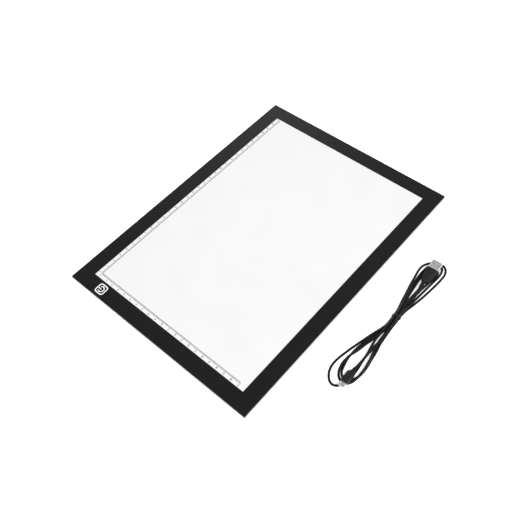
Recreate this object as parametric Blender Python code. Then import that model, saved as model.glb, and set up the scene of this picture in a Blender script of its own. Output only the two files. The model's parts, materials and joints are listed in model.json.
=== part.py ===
"""Slim LED light box for tracing, with its USB lead lying hanked beside it.

The row frame has its origin under the middle of the box, +X along the long side, +Y towards the
long side that carries the socket, and +Z up. The box is a stack: back cover, reflector, light
guide, diffuser, printed border mask and clear top panel, with the electronics at its left edge.
"""

import math

import bmesh
import bpy
from mathutils import Euler, Vector

MM = 0.001

# Outer box
PAD_LENGTH = 356 * MM
PAD_WIDTH = 262.5 * MM
PAD_CORNER = 1 * MM
BORDER = 19 * MM
EDGE_BREAK = 0.25 * MM

# Levels of the stack, from the table up
COVER_BOTTOM = 0.4 * MM
BAY_FLOOR = 0.8 * MM
COVER_FLOOR = 1.2 * MM
LEDGE_TOP = 3.0 * MM
LIP_TOP = 3.65 * MM
REFLECTOR_Z = (1.4 * MM, 1.6 * MM)
GUIDE_Z = (1.8 * MM, 3.0 * MM)
DIFFUSER_Z = (3.15 * MM, 3.35 * MM)
TAPE_Z = (3.15 * MM, 3.35 * MM)
MASK_Z = (3.5 * MM, 3.65 * MM)
PANEL_Z = (3.8 * MM, 5.0 * MM)

# Back cover
LIP_WIDTH = 1 * MM
LEDGE_WIDTH = 7 * MM
CLEARANCE = 0.3 * MM

# Optical sheets
SHEET_LEFT = -161.4 * MM
SHEET_RIGHT = 168 * MM
SHEET_NEAR = -121 * MM
SHEET_FAR = 115.2 * MM

# Feet: oblong pads let into the ledge
FOOT_LENGTH = 14 * MM
FOOT_WIDTH = 5 * MM
FOOT_HEIGHT = 0.7 * MM
FOOT_X = 145 * MM
FOOT_INSET = 3.6 * MM

# Light strip along the far edge
STRIP_LEFT = -158 * MM
STRIP_RIGHT = 166 * MM
STRIP_BACK = 123.9 * MM
STRIP_FRONT = 115.9 * MM
STRIP_Z = (1.35 * MM, 1.55 * MM)
LED_COUNT = 36
LED_SIZE = (3.0 * MM, 1.1 * MM, 1.2 * MM)

# Electronics bay at the left edge
BOARD_X = (-170.7 * MM, -162.1 * MM)
BOARD_Y = (74 * MM, 123.9 * MM)
BOARD_Z = (1.1 * MM, 1.7 * MM)
BAY_X = (-171 * MM, -161.8 * MM)
BAY_Y = (72 * MM, 126 * MM)
COMPONENT_Z = 1.9 * MM
TOUCH_KEY = (-167.6 * MM, 90.9 * MM)

# Micro-USB socket, which opens through the far edge
SOCKET_X = -166.4 * MM
SOCKET_Y = (124.4 * MM, 130.6 * MM)
SOCKET_Z = (0.95 * MM, 3.4 * MM)
SOCKET_WIDTH = 7.6 * MM
SOCKET_WALL = 0.3 * MM
NOTCH_SIDE = 0.6 * MM

# USB lead
CORD_DIAMETER = 2.6 * MM
LOBE_TOP = 2.2 * MM
WAIST_BOTTOM = 0.9 * MM
WAIST_TOP = 7.6 * MM
WAIST_STEP = (21 * MM, 27 * MM)
TIE_X = (5.4 * MM, 8.6 * MM)
TIE_THICKNESS = 0.6 * MM
TAIL_REACH = 7 * MM
TAIL_ASIDE = 1.2 * MM
TAIL_SIZE = (1.5 * MM, 1.4 * MM)

# The hank's outline as ribs across it, each a point on its far side and one on its near side
HANK_RIBS = (
    ((-97.0, -172.0), (-96.6, -176.0)),
    ((-94.8, -168.2), (-92.8, -181.6)),
    ((-88.6, -163.2), (-86.6, -186.6)),
    ((-76.0, -159.6), (-76.0, -190.4)),
    ((-62.0, -161.2), (-62.0, -191.2)),
    ((-46.0, -164.8), (-46.0, -188.9)),
    ((-30.0, -169.3), (-30.0, -186.0)),
    ((-16.0, -173.9), (-16.0, -184.3)),
    ((-7.0, -176.2), (-7.0, -184.8)),
    ((3.0, -175.9), (3.0, -184.5)),
    ((11.0, -175.4), (11.0, -184.2)),
    ((24.0, -172.5), (24.0, -184.7)),
    ((40.0, -169.2), (40.0, -187.6)),
    ((58.0, -165.6), (58.0, -190.0)),
    ((76.0, -162.8), (78.0, -191.4)),
    ((85.5, -165.4), (88.0, -190.6)),
    ((92.4, -171.8), (94.2, -185.4)),
    ((95.6, -177.2), (95.9, -180.8)),
)
TIED_RIB = 9
RIB_STEPS = 4

# USB-A plug: the point where its metal shell leaves the overmould, and its heading
USB_A_ROOT = (78.5 * MM, -177.3 * MM, 6.7 * MM)
USB_A_HEADING = 4
USB_A_SHELL = (12.0 * MM, 4.5 * MM)
USB_A_REACH = 11.75 * MM
USB_A_REAR = -27 * MM

# Micro-USB plug, lying nose up on the crossing turns
MICRO_ROOT = (-89.2 * MM, -183.2 * MM, 8.4 * MM)
MICRO_HEADING = 183
MICRO_PITCH = 9
MICRO_SHELL = (6.85 * MM, 1.8 * MM)
MICRO_REACH = 5.4 * MM
MICRO_REAR = -21 * MM

SHELL_WALL = 0.3 * MM
SOCKET_IN_OVERMOULD = 1.2 * MM

# The two stretches of lead between the hank's waist and the plugs
USB_A_LEAD = (
    (27.0, -178.4, 4.7),
    (31.5, -178.4, 4.9),
    (36.5, -178.8, 5.3),
    (42.0, -179.3, 6.0),
    (46.5, -179.5, 6.5),
    (51.2, -179.2, 6.7),
)
MICRO_LEAD = (
    (-25.6, -178.9, 5.0),
    (-30.0, -178.8, 4.7),
    (-36.0, -179.7, 4.1),
    (-42.0, -180.8, 3.8),
    (-48.0, -181.9, 3.75),
    (-55.0, -182.4, 3.8),
    (-62.0, -182.3, 4.4),
    (-68.2, -182.1, 5.1),
)


def clear_scene():
    for obj in list(bpy.data.objects):
        bpy.data.objects.remove(obj)


def make_material(name, colour, roughness, metallic=0.0, alpha=1.0):
    material = bpy.data.materials.new(name)
    material.use_nodes = True
    shader = material.node_tree.nodes["Principled BSDF"]
    shader.inputs["Base Color"].default_value = (*colour, 1.0)
    shader.inputs["Roughness"].default_value = roughness
    shader.inputs["Metallic"].default_value = metallic
    shader.inputs["Alpha"].default_value = alpha
    material.diffuse_color = (*colour, alpha)
    return material


def add_mesh(name, bm, material, parent=None, smooth=False):
    """One object from a bmesh, with its normals facing out."""
    bmesh.ops.recalc_face_normals(bm, faces=bm.faces)
    mesh = bpy.data.meshes.new(name)
    bm.to_mesh(mesh)
    bm.free()
    if material:
        mesh.materials.append(material)
    if smooth:
        mesh.shade_smooth()
        mesh.set_sharp_from_angle(angle=math.radians(35))
    obj = bpy.data.objects.new(name, mesh)
    obj.parent = parent
    bpy.context.collection.objects.link(obj)
    return obj


def loft(name, sections, material=None, parent=None, smooth=False):
    """A closed body through loops of equally many points, capped at both ends."""
    bm = bmesh.new()
    loops = [[bm.verts.new(point) for point in section] for section in sections]
    for low, high in zip(loops, loops[1:]):
        for i in range(len(low)):
            j = (i + 1) % len(low)
            bm.faces.new((low[i], low[j], high[j], high[i]))
    bm.faces.new(loops[0][::-1])
    bm.faces.new(loops[-1])
    return add_mesh(name, bm, material, parent, smooth)


def rounded_rectangle(length, width, radius, steps=4):
    """The (u, v) points of a rectangle about the origin with round corners."""
    points = []
    corners = ((1, 1, 0), (-1, 1, 90), (-1, -1, 180), (1, -1, 270))
    for u_side, v_side, start in corners:
        for step in range(steps + 1):
            angle = math.radians(start + 90 * step / steps)
            u = u_side * (length / 2 - radius) + radius * math.cos(angle)
            v = v_side * (width / 2 - radius) + radius * math.sin(angle)
            points.append((u, v))
    return points


def plate(name, x, y, z, material=None, corner=0.05 * MM, edge=0.0, parent=None):
    """A flat piece between the pairs x, y and z, with round corners and broken edges."""
    centre_x = sum(x) / 2
    centre_y = sum(y) / 2
    levels = [(z[0], 0.0), (z[1], 0.0)]
    if edge:
        levels = [(z[0], edge), (z[0] + edge, 0.0), (z[1] - edge, 0.0), (z[1], edge)]
    sections = []
    for height, inset in levels:
        length = x[1] - x[0] - 2 * inset
        width = y[1] - y[0] - 2 * inset
        outline = rounded_rectangle(length, width, max(corner - inset, 0.02 * MM))
        sections.append([(centre_x + u, centre_y + v, height) for u, v in outline])
    return loft(name, sections, material, parent)


def block(name, x, y, z, material=None, parent=None):
    """A plain box between the pairs x, y and z."""
    bm = bmesh.new()
    bmesh.ops.create_cube(bm, size=1.0)
    for vertex in bm.verts:
        for axis, (low, high) in enumerate((x, y, z)):
            vertex.co[axis] = high if vertex.co[axis] > 0 else low
    return add_mesh(name, bm, material, parent)


def centred(middle, size):
    return (middle - size / 2, middle + size / 2)


def combine(target, tool, operation="DIFFERENCE"):
    """Cuts the tool from the target, or joins it on, and hides the tool."""
    tool.hide_render = True
    tool.display_type = "WIRE"
    modifier = target.modifiers.new(tool.name, "BOOLEAN")
    modifier.operation = operation
    modifier.object = tool
    modifier.solver = "EXACT"


def add_back_cover(materials):
    half_x = PAD_LENGTH / 2
    half_y = PAD_WIDTH / 2
    cover = plate(
        "back_cover",
        (-half_x, half_x),
        (-half_y, half_y),
        (COVER_BOTTOM, LIP_TOP),
        materials["cover"],
        PAD_CORNER,
        EDGE_BREAK,
    )
    above = 8 * MM
    hollows = (
        ("lip_hollow", LIP_WIDTH, LEDGE_TOP),
        ("main_hollow", LEDGE_WIDTH, COVER_FLOOR),
    )
    for name, inset, floor in hollows:
        x = (inset - half_x, half_x - inset)
        y = (inset - half_y, half_y - inset)
        combine(cover, block(name, x, y, (floor, above)))
    combine(cover, block("bay_hollow", BAY_X, BAY_Y, (BAY_FLOOR, above)))
    notch_x = centred(SOCKET_X, SOCKET_WIDTH + 2 * NOTCH_SIDE)
    notch_y = (BAY_Y[1] - 1.5 * MM, half_y + 1 * MM)
    combine(cover, block("socket_notch", notch_x, notch_y, (BAY_FLOOR, above)))
    for name, x, y in foot_places():
        recess = oblong(name + "_recess", x, y, (0.0, FOOT_HEIGHT + CLEARANCE), CLEARANCE)
        combine(cover, recess)


def foot_places():
    """The feet's names and centres, two along each long side."""
    y = PAD_WIDTH / 2 - FOOT_INSET
    for end, x_side in (("left", -1), ("right", 1)):
        for side, y_side in (("near", -1), ("far", 1)):
            yield f"foot_{side}_{end}", x_side * FOOT_X, y_side * y


def oblong(name, x, y, z, grow=0.0, material=None):
    length = FOOT_LENGTH + 2 * grow
    width = FOOT_WIDTH + 2 * grow
    outline = rounded_rectangle(length, width, width / 2, 6)
    sections = [[(x + u, y + v, height) for u, v in outline] for height in z]
    return loft(name, sections, material, None, grow == 0.0)


def add_feet(materials):
    for name, x, y in foot_places():
        oblong(name, x, y, (0.0, FOOT_HEIGHT), 0.0, materials["foot"])


def add_top_panel(materials):
    x = centred(0.0, PAD_LENGTH)
    y = centred(0.0, PAD_WIDTH)
    plate("top_panel", x, y, PANEL_Z, materials["panel"], PAD_CORNER, EDGE_BREAK)


def add_border_mask(materials):
    """The black printed film between the panel and the diffuser, open over the lit area."""
    rim = 2 * (LIP_WIDTH + CLEARANCE)
    mask = plate(
        "border_mask",
        centred(0.0, PAD_LENGTH - rim),
        centred(0.0, PAD_WIDTH - rim),
        MASK_Z,
        materials["mask"],
    )
    window = plate(
        "lit_window",
        centred(0.0, PAD_LENGTH - 2 * BORDER),
        centred(0.0, PAD_WIDTH - 2 * BORDER),
        (MASK_Z[0] - 1 * MM, MASK_Z[1] + 1 * MM),
    )
    combine(mask, window)


def add_sheets(materials):
    x = (SHEET_LEFT, SHEET_RIGHT)
    y = (SHEET_NEAR, SHEET_FAR)
    plate("reflector_sheet", x, y, REFLECTOR_Z, materials["reflector"])
    plate("light_guide", x, y, GUIDE_Z, materials["guide"])
    plate("diffuser_sheet", x, y, DIFFUSER_Z, materials["diffuser"])


def add_tapes(materials):
    """Double-sided tape on the ledge, four strips that meet near the corners."""
    outer_x = PAD_LENGTH / 2 - LIP_WIDTH - 0.4 * MM
    outer_y = PAD_WIDTH / 2 - LIP_WIDTH - 0.4 * MM
    inner_x = PAD_LENGTH / 2 - LEDGE_WIDTH + 0.2 * MM
    inner_y = PAD_WIDTH / 2 - LEDGE_WIDTH + 0.2 * MM
    far_start = SOCKET_X + SOCKET_WIDTH / 2 + 2 * NOTCH_SIDE
    side_y = (CLEARANCE - inner_y, inner_y - CLEARANCE)
    strips = (
        ("tape_near", (-outer_x, outer_x), (-outer_y, -inner_y)),
        ("tape_far", (far_start, outer_x), (inner_y, outer_y)),
        ("tape_left", (-outer_x, -inner_x), side_y),
        ("tape_right", (inner_x, outer_x), side_y),
    )
    for name, x, y in strips:
        block(name, x, y, TAPE_Z, materials["tape"])


def add_led_strip(materials):
    """The flexible board with its row of side-firing lamps, facing the light guide's edge."""
    strip = block(
        "led_strip",
        (STRIP_LEFT, STRIP_RIGHT),
        (STRIP_FRONT, STRIP_BACK),
        STRIP_Z,
        materials["strip"],
    )
    length, depth, height = LED_SIZE
    pitch = (STRIP_RIGHT - STRIP_LEFT) / LED_COUNT
    sink = 0.05 * MM
    bm = bmesh.new()
    for number in range(LED_COUNT):
        middle = Vector(
            (
                STRIP_LEFT + (number + 0.5) * pitch,
                STRIP_FRONT + 0.2 * MM + depth / 2,
                STRIP_Z[1] - sink + height / 2,
            )
        )
        made = bmesh.ops.create_cube(bm, size=1.0)
        bmesh.ops.scale(bm, vec=(length, depth, height), verts=made["verts"])
        bmesh.ops.translate(bm, vec=middle, verts=made["verts"])
    lamps = add_mesh("led_packages", bm, materials["strip"])
    combine(strip, lamps, "UNION")


def add_driver_board(materials):
    """The touch and dimmer board, with the parts that stand on it."""
    block("driver_board", BOARD_X, BOARD_Y, BOARD_Z, materials["board"])
    parts = (
        ("touch_ic", (-166.6, 104.0), (2.9, 1.6, 1.1), "chip"),
        ("dimmer_mosfet", (-166.4, 111.4), (2.9, 1.4, 1.1), "chip"),
        ("capacitor_1", (-168.6, 121.4), (1.6, 3.2, 1.0), "capacitor"),
        ("capacitor_2", (-164.2, 121.4), (1.6, 3.2, 1.0), "capacitor"),
        ("resistor_1", (-169.0, 107.6), (2.0, 1.25, 0.5), "chip"),
        ("resistor_2", (-163.9, 107.6), (2.0, 1.25, 0.5), "chip"),
        ("resistor_3", (-166.5, 99.4), (2.0, 1.25, 0.5), "chip"),
    )
    for name, (x, y), (length, width, height), finish in parts:
        block(
            name,
            centred(x * MM, length * MM),
            centred(y * MM, width * MM),
            (COMPONENT_Z, COMPONENT_Z + height * MM),
            materials[finish],
        )


def add_touch_key(materials):
    """The capacitive key under the printed symbol: a foil held up by a foam block."""
    x, y = TOUCH_KEY
    foam_z = (COMPONENT_Z, 2.75 * MM)
    foil_z = (2.9 * MM, 3.05 * MM)
    block("touch_foam", centred(x, 5 * MM), centred(y, 6 * MM), foam_z, materials["foam"])
    block("touch_foil", centred(x, 6.4 * MM), centred(y, 9 * MM), foil_z, materials["copper"])


def add_wires(materials):
    """The two leads from the driver board to the light strip."""
    for name, start_y, end_y in (("wire_red", 117.6, 121.6), ("wire_black", 115.0, 119.0)):
        ends = (start_y, start_y, (start_y + end_y) / 2, end_y, end_y)
        heights = (2.4, 2.45, 2.5, 2.4, 2.25)
        across = (-166.0, -163.2, -160.4, -157.6, -154.8)
        route = smooth_route([p for p in zip(across, ends, heights)], 4)
        add_tube(name, route, 0.8 * MM, materials[name])


def chamfered_socket(width, height, cut):
    """The (u, v) outline of a micro-USB shell: its two lower corners are cut off."""
    return (
        (width / 2, height / 2),
        (-width / 2, height / 2),
        (-width / 2, cut - height / 2),
        (cut - width / 2, -height / 2),
        (width / 2 - cut, -height / 2),
        (width / 2, cut - height / 2),
    )


def add_socket(materials):
    """The micro-USB socket: a shell that is open at the front, and its tongue."""
    middle_z = sum(SOCKET_Z) / 2
    height = SOCKET_Z[1] - SOCKET_Z[0]
    sections = []
    outline = chamfered_socket(SOCKET_WIDTH, height, 0.9 * MM)
    for y in SOCKET_Y:
        sections.append([(SOCKET_X + u, y, middle_z + v) for u, v in outline])
    shell = loft("usb_socket_shell", sections, materials["steel"])
    inner = chamfered_socket(
        SOCKET_WIDTH - 2 * SOCKET_WALL, height - 2 * SOCKET_WALL, 0.75 * MM
    )
    beyond = (SOCKET_Y[0] - 1 * MM, SOCKET_Y[1] + 1 * MM)
    sections = [[(SOCKET_X + u, y, middle_z + v) for u, v in inner] for y in beyond]
    combine(shell, loft("socket_mouth", sections))
    tongue = block(
        "usb_socket_tongue",
        centred(SOCKET_X, 3.7 * MM),
        (SOCKET_Y[0] + 0.4 * MM, SOCKET_Y[1] - 0.7 * MM),
        centred(middle_z + 0.2 * MM, 0.6 * MM),
        materials["insulator"],
    )
    root = block(
        "socket_root",
        centred(SOCKET_X, 5.2 * MM),
        (SOCKET_Y[0] + 0.1 * MM, SOCKET_Y[0] + 1.4 * MM),
        centred(middle_z, 1.5 * MM),
    )
    combine(tongue, root, "UNION")


def smooth_route(points, steps):
    """Points along a Catmull-Rom curve through the route's own points, in metres."""
    knots = [Vector(point) * MM for point in points]
    knots = [2 * knots[0] - knots[1], *knots, 2 * knots[-1] - knots[-2]]
    route = []
    for before, start, end, after in zip(knots, knots[1:], knots[2:], knots[3:]):
        for step in range(steps):
            t = step / steps
            pull = (end - before) * t + (2 * before - 5 * start + 4 * end - after) * t**2
            route.append(start + 0.5 * (pull + (3 * start - before - 3 * end + after) * t**3))
    route.append(knots[-2])
    return route


def add_tube(name, route, diameter, material, parent=None):
    """A round cord along the route, with flat ends."""
    curve = bpy.data.curves.new(name, "CURVE")
    curve.dimensions = "3D"
    curve.bevel_depth = diameter / 2
    curve.bevel_resolution = 2
    curve.use_fill_caps = True
    spline = curve.splines.new("POLY")
    spline.points.add(len(route) - 1)
    for point, place in zip(spline.points, route):
        point.co = (*place, 1.0)
    curve.materials.append(material)
    obj = bpy.data.objects.new(name, curve)
    bpy.context.collection.objects.link(obj)
    if parent:
        obj.parent = parent
        obj.matrix_parent_inverse = parent.matrix_basis.inverted()
    return obj


def ease(value, start, end):
    """0 before start, 1 after end, and a smooth rise between them."""
    t = min(max((value - start) / (end - start), 0.0), 1.0)
    return t * t * (3 - 2 * t)


def hank_section(far, near, grow=0.0):
    """The eight corners of the hank's section between a far and a near point of its outline."""
    flat = ease(abs((far.x + near.x) / 2), *WAIST_STEP)
    top = WAIST_TOP + (LOBE_TOP - WAIST_TOP) * flat + grow
    bottom = WAIST_BOTTOM * (1 - flat) - grow
    across = (near - far).normalized()
    far = far - across * grow
    near = near + across * grow
    cut = 0.29 * (top - bottom)
    middle = (far + near) / 2
    reach = (near - far).length / 2
    profile = (
        (-reach, bottom + cut),
        (-reach, top - cut),
        (cut - reach, top),
        (reach - cut, top),
        (reach, top - cut),
        (reach, bottom + cut),
        (reach - cut, bottom),
        (cut - reach, bottom),
    )
    return [middle + across * along + Vector((0, 0, height)) for along, height in profile]


def hank_sections():
    far = smooth_route([(x, y, 0.0) for (x, y), _ in HANK_RIBS], RIB_STEPS)
    near = smooth_route([(x, y, 0.0) for _, (x, y) in HANK_RIBS], RIB_STEPS)
    return [hank_section(a, b) for a, b in zip(far, near)]


def waist_section(x, grow):
    """The hank's section at a place on its waist, grown outwards."""
    far_y, near_y = (point[1] * MM for point in HANK_RIBS[TIED_RIB])
    far = Vector((x, far_y, 0.0))
    near = Vector((x, near_y, 0.0))
    return hank_section(far, near, grow)


def add_hank(materials, rig):
    """The folded turns of cord as one solid, thin in its two lobes and full at its waist."""
    hank = loft("cord_hank", hank_sections(), materials["cord"])
    keep_place(hank, rig)


def keep_place(obj, rig):
    """Parents obj to the rig without moving it."""
    obj.parent = rig
    obj.matrix_parent_inverse = rig.matrix_basis.inverted()


def add_tie(materials, rig):
    """The twist tie: a flat band round the waist, with its twisted end laid along the top."""
    inner = [waist_section(x, CLEARANCE) for x in (TIE_X[0] - 1 * MM, TIE_X[1] + 1 * MM)]
    outer = [waist_section(x, CLEARANCE + TIE_THICKNESS) for x in TIE_X]
    band = loft("cord_tie", outer, materials["tie"])
    middle_y = sum(point[1] for point in HANK_RIBS[TIED_RIB]) * MM / 2
    tail_z = WAIST_TOP + CLEARANCE + 0.1 * MM
    tail = plate(
        "tie_tail",
        (TIE_X[0] - TAIL_REACH, TIE_X[1] - 0.4 * MM),
        centred(middle_y - TAIL_ASIDE, TAIL_SIZE[0]),
        (tail_z, tail_z + TAIL_SIZE[1]),
        None,
        0.5 * MM,
        0.3 * MM,
    )
    combine(band, tail, "UNION")
    hole = loft("tie_hole", inner)
    combine(band, hole)
    for piece in (band, tail, hole):
        keep_place(piece, rig)


def plug_rig(name, root, heading, pitch, rig):
    """An empty at a plug's root, with +X the way the plug goes into its socket."""
    empty = bpy.data.objects.new(name, None)
    bpy.context.collection.objects.link(empty)
    empty.location = root
    empty.rotation_euler = Euler((0.0, math.radians(-pitch), math.radians(heading)))
    bpy.context.view_layer.update()
    keep_place(empty, rig)
    return empty


def along_x(sections):
    """Loops across +X from rows of (x, width, height, corner radius)."""
    loops = []
    for x, width, height, radius in sections:
        outline = rounded_rectangle(width * MM, height * MM, radius * MM)
        loops.append([(x * MM, u, v) for u, v in outline])
    return loops


def tube_shell(name, width, height, reach, material, rig):
    """A rectangular drawn-metal shell, open at both ends."""
    start = 0.0 - SOCKET_IN_OVERMOULD + CLEARANCE
    body = block(name, (start, reach), centred(0, width), centred(0, height), material, rig)
    bore = block(
        name + "_bore",
        (start - 1 * MM, reach + 1 * MM),
        centred(0, width - 2 * SHELL_WALL),
        centred(0, height - 2 * SHELL_WALL),
        None,
        rig,
    )
    combine(body, bore)
    return body


def overmould(name, sections, shell, material, rig):
    """A moulded grip and strain relief, with the recess that its metal shell stands in."""
    grip = loft(name, along_x(sections), material, rig, True)
    width, height = shell
    recess = block(
        name + "_recess",
        (-SOCKET_IN_OVERMOULD, 1 * MM),
        centred(0, width + 2 * CLEARANCE),
        centred(0, height + 2 * CLEARANCE),
        None,
        rig,
    )
    combine(grip, recess)


def add_usb_a_plug(materials, rig):
    root = plug_rig("usb_a_rig", USB_A_ROOT, USB_A_HEADING, 0, rig)
    sections = (
        (USB_A_REAR / MM, 3.4, 3.4, 1.6),
        (-20.4, 4.6, 4.6, 2.2),
        (-20.0, 5.4, 4.8, 2.2),
        (-18.4, 7.6, 6.0, 2.2),
        (-16.6, 9.6, 6.8, 1.8),
        (-15.0, 10.4, 6.9, 1.5),
        (-0.8, 13.8, 6.9, 1.5),
        (0.0, 13.0, 6.2, 1.2),
    )
    overmould("usb_a_overmould", sections, USB_A_SHELL, materials["overmould"], root)
    width, height = USB_A_SHELL
    shell = tube_shell("usb_a_shell", width, height, USB_A_REACH, materials["steel"], root)
    for number, side in enumerate((-1, 1), 1):
        window = block(
            f"usb_a_window_{number}",
            centred(6.2 * MM, 2.2 * MM),
            centred(side * 2.9 * MM, 2.4 * MM),
            centred(0, height + 2 * MM),
            None,
            root,
        )
        combine(shell, window)
    tongue_z = (-0.1 * MM, 1.7 * MM)
    block(
        "usb_a_insulator",
        (-0.6 * MM, 11.0 * MM),
        centred(0, 10.8 * MM),
        tongue_z,
        materials["tongue"],
        root,
    )
    for number, y in enumerate((-3.5, -1.0, 1.0, 3.5), 1):
        block(
            f"usb_a_contact_{number}",
            (1.0 * MM, 10.2 * MM),
            centred(y * MM, 1.0 * MM),
            (tongue_z[0] - 0.35 * MM, tongue_z[0] - 0.15 * MM),
            materials["gold"],
            root,
        )


def add_micro_plug(materials, rig):
    root = plug_rig("micro_rig", MICRO_ROOT, MICRO_HEADING, MICRO_PITCH, rig)
    sections = (
        (MICRO_REAR / MM, 3.3, 3.3, 1.55),
        (-15.9, 4.0, 4.0, 1.9),
        (-15.6, 5.6, 4.4, 2.1),
        (-14.2, 8.6, 5.2, 1.8),
        (-13.0, 9.6, 5.4, 1.4),
        (-3.0, 9.6, 5.4, 1.4),
        (0.0, 8.4, 4.2, 1.2),
    )
    overmould("micro_usb_overmould", sections, MICRO_SHELL, materials["overmould"], root)
    width, height = MICRO_SHELL
    start = CLEARANCE - SOCKET_IN_OVERMOULD
    outline = chamfered_socket(width, height, 0.7 * MM)
    sections = [[(x, u, v) for u, v in outline] for x in (start, MICRO_REACH)]
    shell = loft("micro_usb_shell", sections, materials["steel"], root)
    inner = chamfered_socket(width - 2 * SHELL_WALL, height - 2 * SHELL_WALL, 0.55 * MM)
    beyond = (start - 1 * MM, MICRO_REACH + 1 * MM)
    sections = [[(x, u, v) for u, v in inner] for x in beyond]
    combine(shell, loft("micro_shell_bore", sections, None, root))
    block(
        "micro_usb_insulator",
        (start + 0.3 * MM, MICRO_REACH - 0.3 * MM),
        centred(0, 4.6 * MM),
        (-0.45 * MM, -0.05 * MM),
        materials["insulator"],
        root,
    )


def add_usb_lead(materials):
    """The lead is its own body: it lies on the table and lifts straight up."""
    rig = bpy.data.objects.new("cable_rig", None)
    bpy.context.collection.objects.link(rig)
    rig.location = (0.0, -180 * MM, 0.0)
    bpy.context.view_layer.update()
    add_hank(materials, rig)
    add_tie(materials, rig)
    for name, points in (("usb_a_lead", USB_A_LEAD), ("micro_usb_lead", MICRO_LEAD)):
        add_tube(name, smooth_route(points, 2), CORD_DIAMETER, materials["cord"], rig)
    add_usb_a_plug(materials, rig)
    add_micro_plug(materials, rig)


def make_materials():
    return {
        "cover": make_material("cover_plastic", (0.60, 0.61, 0.62), 0.55),
        "panel": make_material("clear_acrylic", (0.92, 0.95, 0.96), 0.12, alpha=0.2),
        "mask": make_material("black_print", (0.018, 0.018, 0.02), 0.4),
        "diffuser": make_material("diffuser_film", (0.93, 0.94, 0.95), 0.6),
        "guide": make_material("light_guide_acrylic", (0.85, 0.9, 0.92), 0.1),
        "reflector": make_material("reflector_film", (0.9, 0.9, 0.88), 0.5),
        "tape": make_material("tape_black", (0.05, 0.05, 0.05), 0.8),
        "foot": make_material("foot_silicone", (0.55, 0.56, 0.57), 0.7),
        "strip": make_material("led_strip_white", (0.85, 0.84, 0.75), 0.5),
        "board": make_material("board_green", (0.02, 0.18, 0.07), 0.45),
        "chip": make_material("chip_black", (0.02, 0.02, 0.02), 0.5),
        "capacitor": make_material("capacitor_tan", (0.4, 0.27, 0.14), 0.5),
        "foam": make_material("foam_grey", (0.12, 0.12, 0.13), 0.9),
        "copper": make_material("copper_foil", (0.8, 0.45, 0.28), 0.3, 1.0),
        "wire_red": make_material("wire_red", (0.6, 0.02, 0.02), 0.4),
        "wire_black": make_material("wire_black", (0.02, 0.02, 0.02), 0.4),
        "steel": make_material("plug_steel", (0.72, 0.72, 0.73), 0.3, 1.0),
        "gold": make_material("contact_gold", (0.95, 0.72, 0.3), 0.25, 1.0),
        "insulator": make_material("insulator_black", (0.03, 0.03, 0.03), 0.5),
        "tongue": make_material("insulator_white", (0.7, 0.7, 0.68), 0.5),
        "cord": make_material("cord_pvc", (0.02, 0.02, 0.022), 0.45),
        "tie": make_material("tie_plastic", (0.025, 0.025, 0.025), 0.5),
        "overmould": make_material("overmould_pvc", (0.025, 0.025, 0.028), 0.5),
    }


def build():
    clear_scene()
    materials = make_materials()
    add_back_cover(materials)
    add_feet(materials)
    add_sheets(materials)
    add_tapes(materials)
    add_border_mask(materials)
    add_top_panel(materials)
    add_led_strip(materials)
    add_driver_board(materials)
    add_touch_key(materials)
    add_wires(materials)
    add_socket(materials)
    add_usb_lead(materials)


build()
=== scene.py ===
"""Light box: a slim LED tracing box with its USB lead lying hanked beside it."""

import json
import math

import bmesh
import bpy
import numpy as np
from mathutils import Euler, Matrix, Vector


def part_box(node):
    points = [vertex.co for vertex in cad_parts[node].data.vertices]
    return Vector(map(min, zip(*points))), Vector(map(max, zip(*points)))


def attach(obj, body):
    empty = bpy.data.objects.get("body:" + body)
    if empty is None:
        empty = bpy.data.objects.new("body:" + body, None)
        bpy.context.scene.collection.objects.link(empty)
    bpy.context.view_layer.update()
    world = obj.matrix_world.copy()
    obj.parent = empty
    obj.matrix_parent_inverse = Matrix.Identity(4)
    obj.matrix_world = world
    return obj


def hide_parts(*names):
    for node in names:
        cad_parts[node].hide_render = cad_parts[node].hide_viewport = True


MM = 0.001

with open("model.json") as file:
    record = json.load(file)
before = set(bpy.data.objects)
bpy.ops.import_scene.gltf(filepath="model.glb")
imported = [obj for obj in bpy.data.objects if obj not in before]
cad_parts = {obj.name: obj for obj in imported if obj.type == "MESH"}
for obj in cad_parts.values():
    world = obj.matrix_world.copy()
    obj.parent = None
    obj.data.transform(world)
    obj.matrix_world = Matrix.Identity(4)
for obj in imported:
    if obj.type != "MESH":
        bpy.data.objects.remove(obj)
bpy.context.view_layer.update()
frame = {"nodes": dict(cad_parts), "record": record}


def grey(value, tint=(1.0, 1.0, 1.0)):
    return tuple(value * part for part in tint)


WHITE = grey(1.0)
COOL = (0.985, 1.0, 1.02)
WARM = (1.02, 1.0, 0.97)

# Camera: where it stands, what it looks at, its roll and its lens
CAMERA_PLACE = (-332.1 * MM, -334.2 * MM, 615.5 * MM)
CAMERA_AIM = (-25.6 * MM, -18.0 * MM, 0.0)
CAMERA_ROLL = -5.92
CAMERA_LENS = 46.27

# The box's face
BORDER = 19.15 * MM
PANEL_CORNER = 1 * MM
PANEL_EDGE = 0.12 * MM
PANEL_EDGE_MIDDLE = 0.035 * MM
WINDOW_CORNER = 0.3 * MM
PRINT_INSET = 0.14 * MM
PRINT_DEPTH = 0.3 * MM
INK_HEIGHT = 0.03 * MM

# The ruler, measured in from the lit window's edge, with its two lengths counted in mm
RULER_LINE = 6.1 * MM
RULER_LENGTH = 310
RULER_WIDTH = 210
RULER_CORNER = 1.8 * MM
RULER_BASE = 0.24 * MM
RULER_TICK = 0.4 * MM
ZERO_TICK = RULER_LINE - 0.4 * MM
CENTIMETRE_TICK = 2.6 * MM
HALF_TICK = 2.3 * MM
MILLIMETRE_TICK = 1.9 * MM
NUMBER_INSET = 2.0 * MM
NUMBER_SIZE = 2.9 * MM
NUMBER_BOLD = 0.05 * MM

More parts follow.
